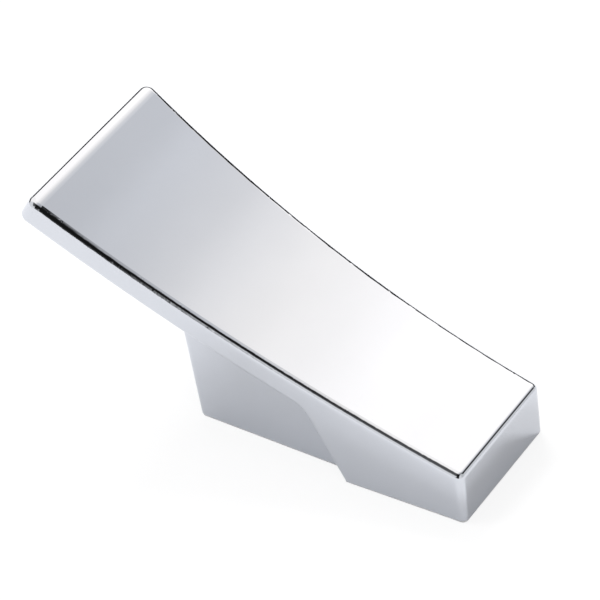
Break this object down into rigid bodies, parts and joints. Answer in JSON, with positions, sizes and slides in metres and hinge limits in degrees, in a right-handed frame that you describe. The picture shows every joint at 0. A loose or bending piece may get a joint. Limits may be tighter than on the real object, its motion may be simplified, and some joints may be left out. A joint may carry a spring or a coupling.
{
  "type": "sash lift handle",
  "caption": "Flared, concave metal window lift on a narrow foot and heel block, over a hidden screw-fixed bracket that a grub screw locks.",
  "frame": {"origin": "middle of the base and of the screw-hole pattern, on the face that meets the sash", "axes": "+Z out of the sash, +X along the base towards the low heel (the lip rises towards -X), +Y across"},
  "size_m": [0.0724, 0.032, 0.0397],
  "materials": {
    "chrome_plate": "mirror polished",
    "zinc_plate": "bright zinc, dull",
    "screw_steel": "black oxide",
    "pad_foam": "matt"
  },
  "bodies": {
    "bracket": {"fixing_bracket": "zinc_plate"},
    "handle": {"handle_body": "chrome_plate", "backing_pad": "pad_foam"},
    "screw": {"grub_screw": "screw_steel"}
  },
  "joints": [
    {"name": "handle_lift_off", "type": "slide", "parent": "bracket", "child": "handle", "axis": [0, 0, 1], "range_m": [0, 0.012]},
    {"name": "grub_screw_travel", "type": "slide", "parent": "handle", "child": "screw", "axis": [-1, 0, 0], "range_m": [0, 0.003]}
  ]
}
